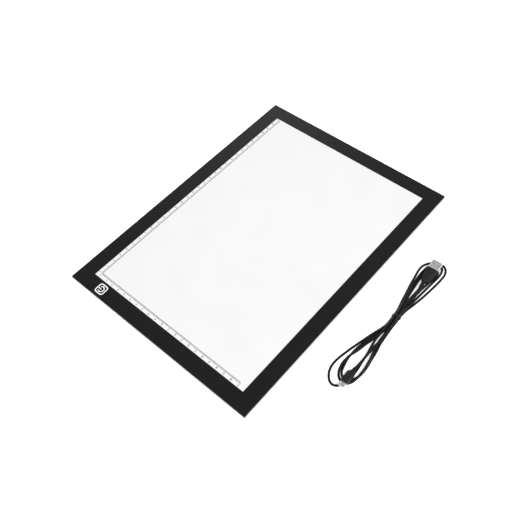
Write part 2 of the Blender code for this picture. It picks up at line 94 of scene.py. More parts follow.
# The touch key's symbol: a square frame, an arc open at the top, and a bar in its opening
KEY_CENTRE = (-168.0 * MM, 91.0 * MM)
KEY_SIZE = 12.4 * MM
KEY_LINE = 1.3 * MM
KEY_CORNER = 3.0 * MM
ARC_RADIUS = 3.3 * MM
ARC_LINE = 1.2 * MM
ARC_RISE = 0.3 * MM
ARC_OPENING = 42
ARC_STEPS = 40
BAR_LENGTH = 4.3 * MM
BAR_RISE = 2.3 * MM

# The lead: its cord, and in mm the places and layers of its passes through the hank's waist
CORD_DIAMETER = 2.6 * MM
CORD_RADIUS = CORD_DIAMETER / 2
ROUTE_STEP = 2.0 * MM
WAIST_X = (11.0, 6.0, 0.0, -8.0)
WAIST_Y = -180.4
WAIST_SLOPE = 0.05
WAIST_BEND_X = -4.0
LOW, MIDDLE, HIGH = 2.25, 4.4, 6.55

# How the hank's turns settle: the points held at each end, the distance that turns are pushed
# apart to, the rounds, and the share of each correction made in a round
PINNED = 3
TURN_DISTANCE = 1.01 * CORD_DIAMETER
SETTLE_ROUNDS = 60
PUSH_ROUNDS = 3
SMOOTHING = 0.35
STRAIGHTENING = 0.02
RETURN = 0.02

# The twist tie: its place, how close it is pulled, the share of the way round that it leaves open
# at each end, over how much of it its ends lift off, and in mm how far they lean apart and lift
TIE_X = 6.6 * MM
TIE_STEPS = 90
TIE_CLEARANCE = 0.16 * MM
TIE_GAP = 0.02
TIE_END = 0.08
TIE_LEAN = 0.5
TIE_LIFT = 0.5
TIE_HEIGHT = 0.2

# Its twisted tail in mm: where it starts, its reach, how far apart its two strands are, its turns
TAIL_START = (0.3, 1.15)
TAIL_REACH = (-8.2, -1.6, -0.6)
TAIL_SPACING = 0.24
TAIL_TURNS = 2.6

# The lit window's own light at its middle, and how it fades outwards, by distance
LIT_GLOW = 0.46
LIT_EDGE = grey(0.94)
LIT_SPREAD = (0.03, 0.17)

# The floor's own light, which keeps it near white in soft shadows, and how it grows outwards
FLOOR_REACH = 6.0
FLOOR_GLOW = 0.33
FAR_FLOOR_GLOW = 1.0
FLOOR_SPREAD = (0.9, 2.5)

# The surround's light at the horizon and overhead, and the heights where it starts to fade and ends
HORIZON_LIGHT = grey(1.1)
OVERHEAD_LIGHT = grey(0.3)
SKY_SPREAD = (0.02, 0.3)

# The bright patch of the surround: its direction, and the cosines where it starts and is full
GLOW_DIRECTION = (0.64, 0.64, 0.42)
GLOW_SPREAD = (0.937, 0.985)
GLOW_LIGHT = grey(1.85)

# The two lamps, both aimed at the origin: place, diameter and watts
LAMPS = {
    "key": ((-1.2, -1.3, 2.4), 1.8, 97),
    "fill": ((1.6, -1.2, 1.8), 1.6, 30),
}

# The plugs: where each metal shell leaves its overmould, its heading and its pitch in degrees,
# and in mm how far back its strain relief ends
USB_A_ROOT = (78.5 * MM, -177.3 * MM, 6.7 * MM)
USB_A_HEADING = 4
USB_A_REAR = -27
MICRO_ROOT = (-89.2 * MM, -183.2 * MM, 8.4 * MM)
MICRO_HEADING = 183
MICRO_PITCH = 9
MICRO_REAR = -21

# Both plugs' shells in mm: where they start inside their overmoulds, and the half width at which
# their lips' flare is as given
SHELL_START = -0.8
LIP_HALF_WIDTH = 6.0

# The cord's route in mm: the stretch behind each plug, and the lobes between the waist's passes
USB_A_LEAD = (
    (51.2, -179.2, 6.7),
    (46.5, -179.5, 6.5),
    (42.0, -179.3, 6.0),
    (36.5, -178.8, 5.3),
    (30.0, -178.4, 4.8),
)
MICRO_LEAD = (
    (-30.0, -178.8, 4.7),
    (-36.0, -179.7, 4.1),
    (-42.0, -180.8, 3.8),
    (-48.0, -181.9, 3.75),
    (-55.0, -182.4, 3.8),
    (-62.0, -182.3, 4.4),
    (-68.2, -182.1, 5.1),
)
LEFT_OUTER = (
    (-24.0, -172.4, 2.2),
    (-32.0, -169.9, 1.2),
    (-40.0, -167.6, 1.2),
    (-50.0, -165.1, 1.2),
    (-60.0, -162.9, 1.2),
    (-68.0, -161.5, 1.2),
    (-76.0, -160.9, 1.2),
    (-83.0, -161.9, 1.2),
    (-89.0, -164.8, 1.2),
    (-93.8, -169.0, 1.2),
    (-96.0, -173.8, 1.2),
    (-94.2, -178.6, 1.8),
    (-89.5, -182.2, 3.6),
    (-84.0, -183.8, 3.7),
    (-78.0, -184.2, 2.7),
    (-71.0, -183.9, 1.2),
    (-64.0, -183.4, 1.2),
    (-57.0, -182.3, 1.2),
    (-51.0, -181.8, 1.2),
    (-44.0, -181.8, 1.4),
    (-36.0, -182.6, 2.6),
    (-28.0, -183.2, 3.4),
    (-20.0, -182.4, 4.6),
)
LEFT_INNER = (
    (-24.0, -174.8, 1.8),
    (-32.0, -172.2, 1.2),
    (-40.0, -170.6, 1.2),
    (-48.0, -169.7, 1.2),
    (-56.0, -169.1, 1.2),
    (-62.0, -168.8, 1.2),
    (-68.0, -169.4, 1.2),
    (-74.0, -170.9, 1.2),
    (-79.5, -173.3, 1.2),
    (-82.6, -176.6, 1.2),
    (-83.6, -180.4, 1.2),
    (-82.2, -183.6, 1.2),
    (-79.4, -186.4, 1.2),
    (-75.5, -188.4, 1.2),
    (-70.0, -189.7, 1.2),
    (-63.0, -190.0, 1.2),
    (-56.0, -189.3, 1.2),
    (-48.0, -187.9, 1.2),
    (-40.0, -186.3, 1.2),
    (-28.0, -184.4, 1.2),
)
LEFT_MIDDLE = (
    (-24.0, -176.8, 2.8),
    (-32.0, -174.6, 1.4),
    (-40.0, -172.9, 1.2),
    (-48.0, -171.4, 1.6),
    (-54.0, -170.1, 2.8),
    (-60.0, -169.1, 3.5),
    (-66.0, -168.9, 3.4),
    (-72.0, -169.0, 2.0),
    (-77.5, -169.6, 1.2),
    (-82.5, -171.9, 1.2),
    (-85.9, -175.5, 1.2),
    (-87.6, -179.6, 1.2),
    (-87.0, -183.4, 1.2),
    (-84.2, -186.2, 1.2),
    (-80.0, -188.0, 1.6),
    (-75.0, -189.2, 3.2),
    (-69.0, -189.8, 3.55),
    (-62.0, -189.4, 3.55),
    (-54.0, -188.2, 3.5),
    (-46.0, -186.6, 3.0),
    (-38.0, -184.4, 1.6),
    (-28.0, -182.2, 1.2),
)
RIGHT_INNER = (
    (24.0, -181.0, 1.2),
    (34.0, -180.2, 1.2),
    (44.0, -180.0, 1.2),
    (52.0, -180.4, 1.2),
    (60.0, -181.3, 1.2),
    (67.0, -182.3, 1.2),
    (74.0, -183.2, 1.2),
    (80.4, -183.3, 1.2),
    (83.6, -182.3, 1.2),
    (85.7, -180.2, 1.2),
    (86.4, -177.4, 1.2),
    (85.7, -174.7, 1.2),
    (83.6, -172.8, 1.2),
    (80.4, -171.9, 1.2),
    (74.0, -171.3, 1.2),
    (67.0, -171.35, 1.2),
    (60.0, -171.8, 1.2),
    (52.0, -172.6, 1.2),
    (44.0, -173.4, 1.2),
    (34.0, -174.9, 1.2),
    (24.0, -177.2, 1.4),
)
RIGHT_OUTER = (
    (20.0, -182.9, 2.4),
    (26.0, -183.9, 1.6),
    (32.0, -184.9, 1.2),
    (44.0, -187.1, 1.2),
    (56.0, -188.5, 1.2),
    (66.0, -189.5, 1.2),
    (77.0, -190.1, 1.2),
    (85.0, -189.8, 1.2),
    (90.5, -187.4, 1.2),
    (93.7, -183.4, 1.2),
    (94.4, -179.2, 1.2),
    (92.7, -174.8, 1.2),
    (89.4, -170.2, 1.2),
    (85.4, -166.9, 1.2),
    (80.8, -164.6, 1.2),
    (75.0, -164.1, 1.2),
    (66.0, -165.4, 1.2),
    (56.0, -167.3, 1.2),
    (44.0, -169.9, 1.2),
    (32.0, -171.9, 1.3),
    (25.0, -173.4, 2.0),
    (19.0, -175.2, 3.0),
)
RIGHT_MIDDLE = (
    (24.0, -181.8, 3.6),
    (34.0, -182.2, 1.6),
    (44.0, -183.3, 1.2),
    (56.0, -184.2, 1.2),
    (66.0, -185.1, 1.2),
    (77.0, -185.8, 1.2),
    (84.0, -185.5, 1.2),
    (88.5, -184.2, 1.2),
    (91.3, -181.5, 1.2),
    (92.1, -178.6, 1.2),
    (90.7, -175.2, 1.2),
    (86.2, -171.6, 1.2),
    (80.0, -169.4, 1.2),
    (72.0, -168.7, 1.2),
    (64.0, -169.0, 1.2),
    (56.0, -169.8, 1.2),
    (48.0, -171.1, 2.2),
    (40.0, -172.4, 2.9),
    (32.0, -174.1, 3.2),
    (24.0, -176.2, 4.4),
)


# ---------------------------------------------------------------------------------- camera


def add_camera():
    """The camera that gives the main view."""
    place = Vector(CAMERA_PLACE)
    data = bpy.data.cameras.new("camera")
    data.lens = CAMERA_LENS
    data.sensor_width = 36
    data.clip_start = 0.01
    data.clip_end = 20
    camera = bpy.data.objects.new("camera", data)
    turn = (Vector(CAMERA_AIM) - place).to_track_quat("-Z", "Y").to_matrix()
    turn = turn @ Matrix.Rotation(math.radians(CAMERA_ROLL), 3, "Z")
    camera.matrix_world = Matrix.Translation(place) @ turn.to_4x4()
    bpy.context.collection.objects.link(camera)
    bpy.context.scene.camera = camera


# ------------------------------------------------------------------------------ mesh tools


def add_object(name, data, material=None, body=None):
    if material:
        data.materials.append(material)
    obj = bpy.data.objects.new(name, data)
    bpy.context.collection.objects.link(obj)
    if body:
        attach(obj, body)
    return obj


def add_bmesh(name, bm, material, body=None, sharp=32):
    """One object from a bmesh, smooth but for edges sharper than that angle."""
    bmesh.ops.recalc_face_normals(bm, faces=bm.faces)
    mesh = bpy.data.meshes.new(name)
    bm.to_mesh(mesh)
    bm.free()
    mesh.shade_smooth()
    mesh.set_sharp_from_angle(angle=math.radians(sharp))
    return add_object(name, mesh, material, body)


def even_normals(piece):
    """Keeps large faces flat beside their rounded edges."""
    modifier = piece.modifiers.new("normals", "WEIGHTED_NORMAL")
    modifier.keep_sharp = True
    modifier.weight = 90


def loft(bm, sections, ring=False, place=None):
    """Skins loops of equally many points, and caps the ends or joins the last to the first."""
    loops = []
    for section in sections:
        points = [place @ Vector(point) for point in section] if place else section
        loops.append([bm.verts.new(point) for point in points])
    pairs = list(zip(loops, loops[1:]))
    if ring:
        pairs.append((loops[-1], loops[0]))
    for low, high in pairs:
        for i in range(len(low)):
            j = (i + 1) % len(low)
            bm.faces.new((low[i], low[j], high[j], high[i]))
    if not ring:
        bm.faces.new(loops[0][::-1])
        bm.faces.new(loops[-1])


def rounded_rectangle(length, width, radius, steps=6):
    """The (u, v) points of a rectangle about the origin with round corners."""
    points = []
    for u_side, v_side, start in ((1, 1, 0), (-1, 1, 90), (-1, -1, 180), (1, -1, 270)):
        for step in range(steps + 1):
            angle = math.radians(start + 90 * step / steps)
            u = u_side * (length / 2 - radius) + radius * math.cos(angle)
            v = v_side * (width / 2 - radius) + radius * math.sin(angle)
            points.append((u, v))
    return points


def level_loops(rows, centre=(0.0, 0.0), steps=6):
    """Loops stacked up from rows of (z, length, width, corner radius)."""
    loops = []
    for z, length, width, radius in rows:
        outline = rounded_rectangle(length, width, radius, steps)
        loops.append([(centre[0] + u, centre[1] + v, z) for u, v in outline])
    return loops


def along_x(rows):
    """Loops across +X from rows of (x, width, height, corner radius), in mm."""
    loops = []
    for x, width, height, radius in rows:
        outline = rounded_rectangle(width * MM, height * MM, radius * MM, 8)
        loops.append([(x * MM, u, v) for u, v in outline])
    return loops


def add_bar(bm, x, y, z):
    """A closed box in a bmesh, between the given bounds."""
    corners = ((x[0], y[0]), (x[1], y[0]), (x[1], y[1]), (x[0], y[1]))
    loft(bm, [[(*corner, height) for corner in corners] for height in z])


# ------------------------------------------------------------------------------- materials


def add_node(tree, kind, settings=None, **inputs):
    node = tree.nodes.new(kind)
    for name, value in (settings or {}).items():
        setattr(node, name, value)
    for name, value in inputs.items():
        socket = node.inputs[name.replace("_", " ")]
        if isinstance(value, bpy.types.NodeSocket):
            tree.links.new(value, socket)
        else:
            socket.default_value = value
    return node


def noise(tree, scale, detail, stretch=(1.0, 1.0, 1.0)):
    """Noise in object space, in features per metre."""
    where = add_node(tree, "ShaderNodeTexCoord").outputs["Object"]
    where = add_node(tree, "ShaderNodeMapping", Vector=where, Scale=stretch).outputs["Vector"]
    made = add_node(tree, "ShaderNodeTexNoise", Vector=where, Scale=scale, Detail=detail)
    return made.outputs["Fac"]


def spread(tree, value, low, high, start=0.3, end=0.7):
    """Takes a value from start to end over to low to high."""
    made = add_node(tree, "ShaderNodeMapRange", Value=value)
    made.inputs["From Min"].default_value = start
    made.inputs["From Max"].default_value = end
    made.inputs["To Min"].default_value = low
    made.inputs["To Max"].default_value = high
    return made.outputs["Result"]


def blend_colours(tree, factor, low, high):
    mix = add_node(tree, "ShaderNodeMix", {"data_type": "RGBA"})
    tree.links.new(factor, mix.inputs[0])
    for socket, colour in ((mix.inputs[6], low), (mix.inputs[7], high)):
        if isinstance(colour, bpy.types.NodeSocket):
            tree.links.new(colour, socket)
        else:
            socket.default_value = (*colour, 1.0)
    return mix.outputs[2]


def distance_out(tree):
    """The distance from the object's origin, in metres."""
    where = add_node(tree, "ShaderNodeTexCoord").outputs["Object"]
    away = add_node(tree, "ShaderNodeVectorMath", {"operation": "LENGTH"})
    tree.links.new(where, away.inputs[0])
    return away.outputs["Value"]


def make_material(name, colours, roughness, mottle, grain, bump, stretch=(1, 1, 1), **sockets):
    """A surface that wanders between two colours and two roughnesses.

    mottle and grain are how fine its clouds and its grain are, in features per metre, and bump
    is how high the grain stands, in mm.
    """
    material = bpy.data.materials.new(name)
    material.use_nodes = True
    tree = material.node_tree
    shader = tree.nodes["Principled BSDF"]
    for socket, value in sockets.items():
        shader.inputs[socket.replace("_", " ")].default_value = value
    cloud = noise(tree, mottle, 4.0, stretch)
    fine = noise(tree, grain, 2.0, stretch)
    colour = blend_colours(tree, spread(tree, cloud, 0.0, 1.0), *colours)
    tree.links.new(colour, shader.inputs["Base Color"])
    rough = spread(tree, fine, *roughness)
    tree.links.new(rough, shader.inputs["Roughness"])
    relief = add_node(tree, "ShaderNodeBump", Height=fine, Distance=bump * MM)
    tree.links.new(relief.outputs["Normal"], shader.inputs["Normal"])
    return material


def make_lit_material():
    """The lit window: an even white glow, a little dimmer towards its edges."""
    material = make_material(
        "lit_diffuser", (grey(0.33), grey(0.35)), (0.32, 0.42), 25, 1500, 0.004
    )
    tree = material.node_tree
    shader = tree.nodes["Principled BSDF"]
    away = spread(tree, distance_out(tree), 0.0, 1.0, *LIT_SPREAD)
    glow = blend_colours(tree, away, WHITE, LIT_EDGE)
    cloud = spread(tree, noise(tree, 14.0, 2.0), 0.0, 1.0)
    glow = blend_colours(tree, cloud, glow, grey(0.98))
    tree.links.new(glow, shader.inputs["Emission Color"])
    shader.inputs["Emission Strength"].default_value = LIT_GLOW
    return material


# By slot: name, colours, roughness, mottle, grain and bump, as make_material takes them
PLAIN_MATERIALS = {
    "cover_plastic": (
        "cover_plastic_fine", (grey(0.36, COOL), grey(0.41, COOL)), (0.42, 0.58), 45, 3200, 0.015
    ),
    "diffuser_film": ("diffuser_film_matt", (grey(0.86), grey(0.9)), (0.55, 0.7), 70, 4000, 0.01),
    "light_guide_acrylic": (
        "light_guide_dots", (grey(0.78, COOL), grey(0.86, COOL)), (0.08, 0.2), 220, 900, 0.01
    ),
    "reflector_film": ("reflector_white", (grey(0.84), grey(0.9)), (0.3, 0.45), 60, 2400, 0.008),
    "tape_black": ("tape_matt", (grey(0.012), grey(0.022)), (0.5, 0.7), 300, 3000, 0.02),
    "foot_silicone": ("foot_silicone_soft", (grey(0.3), grey(0.36)), (0.5, 0.68), 120, 2600, 0.02),
    "led_strip_white": (
        "strip_white", (grey(0.72, WARM), grey(0.8, WARM)), (0.4, 0.55), 500, 3500, 0.01
    ),
    "board_green": (
        "board_mask", ((0.012, 0.09, 0.035), (0.02, 0.14, 0.05)), (0.25, 0.4), 700, 3000, 0.02
    ),
    "chip_black": ("chip_epoxy", (grey(0.014), grey(0.024)), (0.5, 0.7), 900, 5000, 0.01),
    "capacitor_tan": (
        "capacitor_ceramic", ((0.32, 0.2, 0.1), (0.42, 0.27, 0.14)), (0.35, 0.5), 900, 4000, 0.01
    ),
    "foam_grey": ("foam_cells", (grey(0.05), grey(0.12)), (0.8, 0.95), 1400, 2500, 0.2),
    "wire_red": (
        "wire_red_pvc", ((0.42, 0.015, 0.012), (0.52, 0.025, 0.02)), (0.35, 0.5), 200, 2500, 0.01
    ),
    "wire_black": ("wire_black_pvc", (grey(0.012), grey(0.02)), (0.35, 0.5), 200, 2500, 0.01),
    "insulator_black": ("insulator_nylon", (grey(0.015), grey(0.028)), (0.4, 0.6), 400, 3500, 0.01),
    # The white insulator gets a light grey, darker than its own white: painted shade for where it
    # sits inside the plug's steel shell
    "insulator_white": (
        "insulator_white_painted_shade", (grey(0.26), grey(0.32)), (0.4, 0.6), 400, 3500, 0.01
    ),
    "ruler_ink": ("ruler_ink", (grey(0.02), grey(0.05)), (0.4, 0.55), 400, 3000, 0.003),
    "white_print": ("white_print", (grey(0.74), grey(0.82)), (0.4, 0.55), 250, 3000, 0.004),
}


def make_materials():
    made = {slot: make_material(*finish) for slot, finish in PLAIN_MATERIALS.items()}
    made["clear_acrylic"] = make_material(
        "acrylic_edge", (grey(0.05, COOL), grey(0.08, COOL)), (0.12, 0.24), 80, 900, 0.006,
        Coat_Weight=0.3, Coat_Roughness=0.08
    )
    made["black_print"] = make_material(
        "border_ink", (grey(0.0026), grey(0.0042)), (0.24, 0.34), 90, 2600, 0.006,
        Specular_IOR_Level=0.4
    )
    made["copper_foil"] = make_material(
        "copper_foil_bright", ((0.62, 0.27, 0.14), (0.75, 0.36, 0.2)), (0.2, 0.4), 200, 1800, 0.01,
        Metallic=1.0
    )
    made["plug_steel"] = make_material(
        "nickel_plate", (grey(0.74), grey(0.8)), (0.3, 0.4), 160, 900, 0.006, (1, 5, 5),
        Metallic=1.0
    )
    made["contact_gold"] = make_material(
        "gold_plate", ((0.72, 0.46, 0.16), (0.82, 0.56, 0.24)), (0.18, 0.32), 300, 1500, 0.004,
        Metallic=1.0
    )
    made["cord_pvc"] = make_material(
        "cord_pvc_satin", (grey(0.002), grey(0.004)), (0.34, 0.48), 110, 1600, 0.02, (0.25, 1, 1),
        Specular_IOR_Level=0.18
    )
    made["tie_plastic"] = make_material(
        "tie_pvc_film", (grey(0.003), grey(0.007)), (0.3, 0.48), 300, 2200, 0.02,
        Specular_IOR_Level=0.3
    )
    made["overmould_pvc"] = make_material(
        "overmould_spark", (grey(0.003), grey(0.007)), (0.42, 0.58), 150, 4200, 0.02,
        Specular_IOR_Level=0.25
    )
    made["lit"] = make_lit_material()
    return made


# --------------------------------------------------------------------------------- the cord


def waist(across, height, heading):
    """A pass through the hank's waist, towards -X or +X."""
    points = []
    for x in WAIST_X:
        middle = WAIST_Y + WAIST_SLOPE * max(x, WAIST_BEND_X)
        points.append((x, middle + across, height))
    return points if heading < 0 else points[::-1]


def smooth_route(points, steps):
    """That many points a stretch along a centripetal Catmull-Rom curve through the given ones."""
    points = np.vstack([2 * points[0] - points[1], points, 2 * points[-1] - points[-2]])
    made = []
    for p0, p1, p2, p3 in zip(points, points[1:], points[2:], points[3:]):
        t1 = np.linalg.norm(p1 - p0) ** 0.5
        t2 = t1 + np.linalg.norm(p2 - p1) ** 0.5
        t3 = t2 + np.linalg.norm(p3 - p2) ** 0.5
        for t in np.linspace(t1, t2, steps, endpoint=False):
            a1 = (t1 - t) / t1 * p0 + t / t1 * p1
            a2 = (t2 - t) / (t2 - t1) * p1 + (t - t1) / (t2 - t1) * p2
            a3 = (t3 - t) / (t3 - t2) * p2 + (t - t2) / (t3 - t2) * p3
            b1 = (t2 - t) / t2 * a1 + t / t2 * a2
            b2 = (t3 - t) / (t3 - t1) * a2 + (t - t1) / (t3 - t1) * a3
            made.append((t2 - t) / (t2 - t1) * b1 + (t - t1) / (t2 - t1) * b2)
    made.append(points[-2])
    return np.array(made)


def respace(route, spacing):
    """The same line with evenly spaced points."""
    steps = np.linalg.norm(np.diff(route, axis=0), axis=1)
    along = np.concatenate([[0.0], np.cumsum(steps)])
    even = np.linspace(0.0, along[-1], int(round(along[-1] / spacing)) + 1)
    return np.stack([np.interp(even, along, route[:, axis]) for axis in range(3)], axis=1)


def settle(route):
    """Pushes the turns a diameter apart, and keeps them smooth and on the table."""
    target = route.copy()
    index = np.arange(len(route))
    apart = np.abs(index[:, None] - index[None, :]) * ROUTE_STEP > 3 * CORD_DIAMETER
    pinned = (index < PINNED) | (index >= len(route) - PINNED)
    for _ in range(SETTLE_ROUNDS):
        lean = np.zeros_like(route)
        lean[1:-1] = (route[:-2] + route[2:]) / 2 - route[1:-1]
        wave = np.zeros_like(route)
        wave[1:-1] = (lean[:-2] + lean[2:]) / 2 - lean[1:-1]
        route = route - SMOOTHING * wave + STRAIGHTENING * lean
        route += RETURN * (target - route)
        for _ in range(PUSH_ROUNDS):
            gap = route[:, None, :] - route[None, :, :]
            distance = np.sqrt((gap**2).sum(axis=2)) + 1e-12
            short = TURN_DISTANCE - distance
            push = np.where(apart & (short > 0), short / distance / 2, 0.0)
            count = np.maximum((push > 0).sum(axis=1), 1)
            route = route + (gap * push[:, :, None]).sum(axis=1) / count[:, None]
            route[:, 2] = np.maximum(route[:, 2], CORD_RADIUS)
        route[pinned] = target[pinned]
    return route


def cord_route():
    """The whole cord, from the USB-A plug's strain relief to the micro-USB plug's."""
    points = [
        *USB_A_LEAD, *waist(0.0, MIDDLE, -1),
        *LEFT_MIDDLE, *waist(-1.5, LOW, 1),
        *RIGHT_INNER, *waist(1.5, LOW, -1),
        *LEFT_INNER, *waist(-2.9, MIDDLE, 1),
        *RIGHT_OUTER, *waist(3.1, MIDDLE, -1),
        *LEFT_OUTER, *waist(-1.5, HIGH, 1),
        *RIGHT_MIDDLE, *waist(1.5, HIGH, -1),
        *MICRO_LEAD,
    ]
    rough = smooth_route(np.array(points) * MM, 24)
    settled = settle(respace(rough, ROUTE_STEP))
    return smooth_route(settled, 3)


def add_cord(route, material):
    """The cord as one round tube along its route."""
    curve = bpy.data.curves.new("usb_cord", "CURVE")
    curve.dimensions = "3D"
    curve.bevel_depth = CORD_RADIUS
    curve.bevel_resolution = 6
    curve.use_fill_caps = True
    spline = curve.splines.new("POLY")
    spline.points.add(len(route) - 1)
    for point, place in zip(spline.points, route):
        point.co = (*place, 1.0)
    return add_object("usb_cord", curve, material, "cord")


# ------------------------------------------------------------------------------ twist tie


def convex_hull(points):
    """The corners of the points' convex hull, anticlockwise."""
    points = sorted(set(points))

    def half(ordered):
        chain = []
        for point in ordered:
            while len(chain) > 1:
                (ax, ay), (bx, by) = chain[-2], chain[-1]
                if (bx - ax) * (point[1] - ay) - (by - ay) * (point[0] - ax) > 0:
                    break
                chain.pop()
            chain.append(point)
        return chain[:-1]

    return half(points) + half(points[::-1])


def waist_outline(route, x):
    """The (y, z) line that a strip pulled tight round the waist follows at a place along it."""
    reach = CORD_RADIUS + TIE_CLEARANCE
    corners = []
    for start, end in zip(route, route[1:]):
        if (start[0] - x) * (end[0] - x) <= 0 and start[0] != end[0]:
            y, z = (start + (end - start) * (x - start[0]) / (end[0] - start[0]))[1:]
            for step in range(24):
                angle = math.tau * step / 24
                corners.append((y + reach * math.cos(angle), z + reach * math.sin(angle)))
    return np.array(convex_hull(corners))


# The wire-cored strip's section in mm: across it, and outwards
STRIP_PROFILE = (
    (-1.5, -0.11), (-0.75, -0.12), (0.0, -0.12), (0.75, -0.12), (1.5, -0.11), (1.56, 0.0),
    (1.5, 0.11), (0.62, 0.13), (0.42, 0.2), (0.28, 0.38), (0.0, 0.46), (-0.28, 0.38),
    (-0.42, 0.2), (-0.62, 0.13), (-1.5, 0.11), (-1.56, 0.0),
)


def strip_loops(centres, normals, width=1.0):
    """Sections of the strip along a line, with its ridge outwards."""
    loops = []
    for i, (centre, normal) in enumerate(zip(centres, normals)):
        ahead = centres[min(i + 1, len(centres) - 1)] - centres[max(i - 1, 0)]
        side = ahead.normalized().cross(normal).normalized()
        loops.append(
            [centre + side * (u * width * MM) + normal * (v * MM) for u, v in STRIP_PROFILE]
        )
    return loops


def add_tie(route, material):
    """A wire-cored strip pulled tight round the waist, its two ends twisted into a tail."""
    bm = bmesh.new()
    outline = waist_outline(route, TIE_X)
    outline = np.roll(outline, -int(np.argmax(outline[:, 1])), axis=0)
    closed = np.vstack([outline, outline[:1]])
    along = np.concatenate([[0.0], np.cumsum(np.linalg.norm(np.diff(closed, axis=0), axis=1))])
    around = along[-1]

    def on_waist(distance):
        return Vector([np.interp(distance % around, along, closed[:, part]) for part in (0, 1)])

    centres = []
    normals = []
    for step in range(TIE_STEPS):
        turn = TIE_GAP + (1 - 2 * TIE_GAP) * step / (TIE_STEPS - 1)
        ahead = on_waist(turn * around + 0.4 * MM) - on_waist(turn * around - 0.4 * MM)
        normal = Vector((0.0, ahead.y, -ahead.x)).normalized()
        rise = TIE_HEIGHT + TIE_LIFT * max(0.0, abs(turn - 0.5) - (0.5 - TIE_END)) / TIE_END
        lean = TIE_LEAN * math.cos(math.pi * turn)
        place = on_waist(turn * around)
        centres.append(Vector((TIE_X + lean * MM, *place)) + normal * (rise * MM))
        normals.append(normal)
    loft(bm, strip_loops(centres, normals))
    start = Vector((TIE_X + TAIL_START[0] * MM, closed[0][0], closed[0][1] + TAIL_START[1] * MM))
    for side in (-1, 1):
        centres = []
        normals = []
        for step in range(TIE_STEPS):
            t = step / (TIE_STEPS - 1)
            angle = TAIL_TURNS * math.tau * t + 0.5
            normal = Vector((0.0, math.sin(angle), math.cos(angle)))
            x, y, z = (part * MM for part in TAIL_REACH)
            bend = Vector((x * t, y * t * t, z * t * t))
            centres.append(start + bend + normal * (side * TAIL_SPACING * MM))
            normals.append(normal * side)
        loft(bm, strip_loops(centres, normals, 0.6 - 0.04 * side))
    tie = add_bmesh("twist_tie", bm, material, "cord", 50)
    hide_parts("cord_tie")
    return tie


# ---------------------------------------------------------------------------------- plugs


# A finger groove's section: along the grip, and the share of its depth
GROOVE = ((-1.0, 0.0), (-0.55, 0.55), (-0.2, 1.0), (0.2, 1.0), (0.55, 0.55), (1.0, 0.0))


def plug_place(root, heading, pitch):
    turn = Euler((0.0, math.radians(-pitch), math.radians(heading))).to_matrix().to_4x4()
    return Matrix.Translation(root) @ turn


def grooved(rows, start, end, count, depth, width):
    """Adds evenly spaced grooves across a stretch of a grip, in its height only."""
    first = next(i for i, row in enumerate(rows) if row[0] == start)
    last = next(i for i, row in enumerate(rows) if row[0] == end)
    knots = rows[first : last + 1]
    made = rows[: first + 1]
    pitch = (end - start) / count
    for i in range(count):
        for shift, share in GROOVE:
            x = start + pitch * (i + 0.5) + shift * width
            _, wide, high, radius = (
                np.interp(x, [row[0] for row in knots], [row[part] for row in knots])
                for part in range(4)
            )
            made.append((x, wide, high - 2 * depth * share, radius))
    return made + rows[last:]


def strain_relief(rear, front, rear_size, front_size, ribs, depth):
    """Rows of a tapered sleeve whose ribs are cut by grooves all round."""
    rows = []
    pitch = (front - rear) / ribs
    for i in range(ribs):
        for share, cut in ((0.0, 0.0), (0.58, 0.0), (0.68, 1.0), (0.92, 1.0)):
            x = rear + pitch * (i + share)
            size = rear_size + (front_size - rear_size) * (x - rear) / (front - rear)
            size -= 2 * depth * cut
            if i == 0 and share == 0.0:
                rows.append((x, size - 0.5, size - 0.5, (size - 0.5) / 2 - 0.02))
                x += 0.22
            rows.append((x, size, size, size / 2 - 0.02))
    return rows


def add_overmould(name, rows, place, material, node):
    bm = bmesh.new()
    loft(bm, along_x(rows), place=place)
    piece = add_bmesh(name, bm, material, "cord", 40)
    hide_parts(node)
    return piece


def cut(target, tool):
    """Takes the tool's volume out of the target for good."""
    modifier = target.modifiers.new("cut", "BOOLEAN")
    modifier.operation = "DIFFERENCE"
    modifier.solver = "EXACT"
    modifier.object = tool
    view = bpy.context.evaluated_depsgraph_get()
    shape = bpy.data.meshes.new_from_object(target.evaluated_get(view))
    target.modifiers.clear()
    target.data = shape
    bpy.data.objects.remove(tool)


